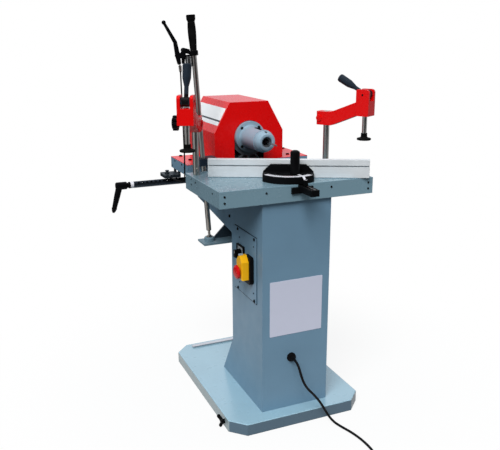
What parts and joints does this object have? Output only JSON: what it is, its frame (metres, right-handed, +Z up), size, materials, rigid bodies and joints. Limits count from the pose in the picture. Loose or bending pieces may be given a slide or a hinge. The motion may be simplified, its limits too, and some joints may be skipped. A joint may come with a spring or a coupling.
{
  "type": "slot mortiser",
  "caption": "Floor-standing woodworking slot mortiser: sheet stand, fixed table with mitre fence and swing clamps, hooded motor on a cross slide moved by a joystick lever.",
  "frame": {"origin": "on the floor, under the middle of the base tray", "axes": "+X to the right along the table's front edge, +Y from the operator to the back, +Z up"},
  "size_m": [0.8545, 1.167, 1.3567],
  "materials": {
    "grey_paint": "satin grey-blue enamel",
    "red_paint": "gloss red enamel",
    "pale_paint": "satin pale blue-grey enamel",
    "dark_paint": "satin blue-black enamel",
    "black_metal": "satin black",
    "steel": "ground bar",
    "blued_steel": "blued bar",
    "cast": "fettled casting",
    "pale_aluminium": "anodised extrusion",
    "black_plastic": "moulded",
    "black_rubber": "moulded rubber",
    "yellow_plastic": "moulded",
    "red_plastic": "moulded",
    "white_plastic": "moulded",
    "bearing_bronze": "sintered liner"
  },
  "bodies": {
    "stand": {"base_tray": "grey_paint", "base_strip": "steel", "column": "grey_paint", "rear_console": "grey_paint", "y_rails": "steel", "table_plate": "grey_paint", "table_apron": "grey_paint", "guide_bracket": "black_metal", "fulcrum_bracket": "dark_paint", "fulcrum_socket": "dark_paint", "switch_plate": "grey_paint", "switch_base": "black_plastic", "selector_bezel": "black_plastic", "cord_gland": "black_plastic", "mains_cord": "black_rubber", "cord_coil": "black_rubber", "cord_plug": "black_rubber"},
    "base_screw": {"base_wing": "black_plastic"},
    "carriage": {"y_carriage": "cast", "x_rails": "steel"},
    "index": {"index_bar": "blued_steel", "index_ring": "white_plastic", "index_lever": "black_plastic"},
    "slide": {"slide_box": "grey_paint", "slide_cover": "red_paint", "hood": "red_paint", "motor": "cast", "spindle_housing": "pale_paint", "lever_block": "dark_paint", "latch_bracket": "dark_paint"},
    "spindle": {"chuck": "steel", "bit": "steel"},
    "latch": {"latch_pin": "steel"},
    "fulcrum_pivot": {"fulcrum_liner": "bearing_bronze"},
    "joystick": {"lever_foot": "steel", "lever_bar": "steel", "lever_grip": "black_rubber", "brake_perch": "black_metal", "brake_cable": "black_rubber"},
    "release": {"brake_lever": "black_metal"},
    "mitre_guide": {"guide_bar": "black_metal"},
    "mitre_fence": {"protractor": "black_metal", "fence": "pale_aluminium"},
    "mitre_lock": {"lock_knob": "black_plastic"},
    "switch_flap": {"switch_cover": "yellow_plastic"},
    "stop": {"stop_button": "red_plastic"},
    "selector": {"selector_knob": "black_plastic"},
    "left_swivel": {"left_post": "steel"},
    "left_clamp": {"left_arm": "red_paint"},
    "left_tightener": {"left_arm_knob": "black_plastic"},
    "left_cam": {"left_cam_lever": "black_plastic"},
    "left_presser": {"left_plunger": "steel", "left_foot": "black_rubber"},
    "right_swivel": {"right_post": "steel"},
    "right_clamp": {"right_arm": "red_paint"},
    "right_tightener": {"right_arm_knob": "black_plastic"},
    "right_cam": {"right_cam_lever": "black_plastic"},
    "right_presser": {"right_plunger": "steel", "right_foot": "black_rubber"}
  },
  "joints": [
    {"name": "base_screw_turn", "type": "hinge", "parent": "stand", "child": "base_screw", "pos_m": [-0.25, -0.242, 0.02075], "axis": [1, 0, 0], "range_deg": [-180, 180]},
    {"name": "plunge", "type": "slide", "parent": "stand", "child": "carriage", "axis": [0, 1, 0], "range_m": [-0.045, 0.065]},
    {"name": "index_turn", "type": "hinge", "parent": "carriage", "child": "index", "pos_m": [-0.25, 0.255, 0.76], "axis": [1, 0, 0], "range_deg": [-90, 90]},
    {"name": "traverse", "type": "slide", "parent": "carriage", "child": "slide", "axis": [1, 0, 0], "range_m": [-0.06, 0.06]},
    {"name": "spindle_turn", "type": "hinge", "parent": "slide", "child": "spindle", "pos_m": [0, 0, 0.932], "axis": [0, 1, 0], "continuous": true},
    {"name": "latch_lift", "type": "slide", "parent": "slide", "child": "latch", "axis": [0, 0, 1], "range_m": [0, 0.006]},
    {"name": "joystick_pitch", "type": "hinge", "parent": "stand", "child": "fulcrum_pivot", "pos_m": [-0.1716, 0.09, 0.578], "axis": [1, 0, 0], "range_deg": [-13.3, 9.3]},
    {"name": "joystick_roll", "type": "hinge", "parent": "fulcrum_pivot", "child": "joystick", "pos_m": [-0.1716, 0.09, 0.578], "axis": [0, 1, 0], "range_deg": [-12.2, 12.2]},
    {"name": "release_turn", "type": "hinge", "parent": "joystick", "child": "release", "pos_m": [-0.25077, 0.09, 1.24126], "axis": [0, 1, 0], "range_deg": [0, 14], "stiffness_Nm_per_rad": 1, "deforming": ["brake_cable"]},
    {"name": "guide_slide", "type": "slide", "parent": "stand", "child": "mitre_guide", "axis": [0, 1, 0], "range_m": [-0.04, 0.04]},
    {"name": "mitre_turn", "type": "hinge", "parent": "mitre_guide", "child": "mitre_fence", "pos_m": [0.008, -0.19, 0.857], "axis": [0, 0, 1], "range_deg": [-18, 71]},
    {"name": "mitre_lock_turn", "type": "hinge", "parent": "mitre_guide", "child": "mitre_lock", "pos_m": [0.008, -0.238, 0.89], "axis": [0, 0, 1], "range_deg": [-180, 180]},
    {"name": "flap_swing", "type": "hinge", "parent": "stand", "child": "switch_flap", "pos_m": [-0.1413, -0.18, 0.5873], "axis": [0, 1, 0], "range_deg": [0, 80]},
    {"name": "stop_press", "type": "slide", "parent": "switch_flap", "child": "stop", "axis": [1, 0, 0], "range_m": [0, 0.004], "stiffness_N_per_m": 800},
    {"name": "selector_turn", "type": "hinge", "parent": "stand", "child": "selector", "pos_m": [-0.14, -0.106, 0.568], "axis": [1, 0, 0], "range_deg": [-45, 45]},
    {"name": "left_swivel_turn", "type": "hinge", "parent": "stand", "child": "left_swivel", "pos_m": [-0.25, -0.01, 0.9], "axis": [0, 0, 1], "range_deg": [-60.5, 109.5]},
    {"name": "left_clamp_height", "type": "slide", "parent": "left_swivel", "child": "left_clamp", "axis": [0, 0, 1], "range_m": [-0.085, 0]},
    {"name": "left_tightener_turn", "type": "hinge", "parent": "left_clamp", "child": "left_tightener", "pos_m": [-0.2844, 0.03143, 1.006], "axis": [0.8788, -0.4772, 0], "range_deg": [-180, 180]},
    {"name": "left_cam_turn", "type": "hinge", "parent": "left_clamp", "child": "left_cam", "pos_m": [-0.32157, -0.14182, 1.095], "axis": [-0.8788, 0.4772, 0], "range_deg": [-48, 52]},
    {"name": "left_press", "type": "slide", "parent": "left_clamp", "child": "left_presser", "axis": [0, 0, 1], "range_m": [-0.0031, 0.0034]},
    {"name": "right_swivel_turn", "type": "hinge", "parent": "stand", "child": "right_swivel", "pos_m": [0.25, -0.01, 0.9], "axis": [0, 0, 1], "range_deg": [-114, 56]},
    {"name": "right_clamp_height", "type": "slide", "parent": "right_swivel", "child": "right_clamp", "axis": [0, 0, 1], "range_m": [-0.085, 0]},
    {"name": "right_tightener_turn", "type": "hinge", "parent": "right_clamp", "child": "right_tightener", "pos_m": [0.2818, 0.03346, 1.001], "axis": [0.848, 0.5299, 0], "range_deg": [-180, 180]},
    {"name": "right_cam_turn", "type": "hinge", "parent": "right_clamp", "child": "right_cam", "pos_m": [0.32949, -0.13721, 1.09], "axis": [-0.848, -0.5299, 0], "range_deg": [-91.5, 8.5]},
    {"name": "right_press", "type": "slide", "parent": "right_clamp", "child": "right_presser", "axis": [0, 0, 1], "range_m": [-0.0059, 0.0006]}
  ],
  "couplings": [
    {"joint": "joystick_pitch", "follows": "plunge", "rad_per_m": -3.528},
    {"joint": "joystick_roll", "follows": "traverse", "rad_per_m": 3.511},
    {"joint": "latch_lift", "follows": "release_turn", "m_per_rad": 0.024},
    {"joint": "left_press", "follows": "left_cam_turn", "m_per_rad": 0.00358},
    {"joint": "right_press", "follows": "right_cam_turn", "m_per_rad": 0.00358}
  ]
}
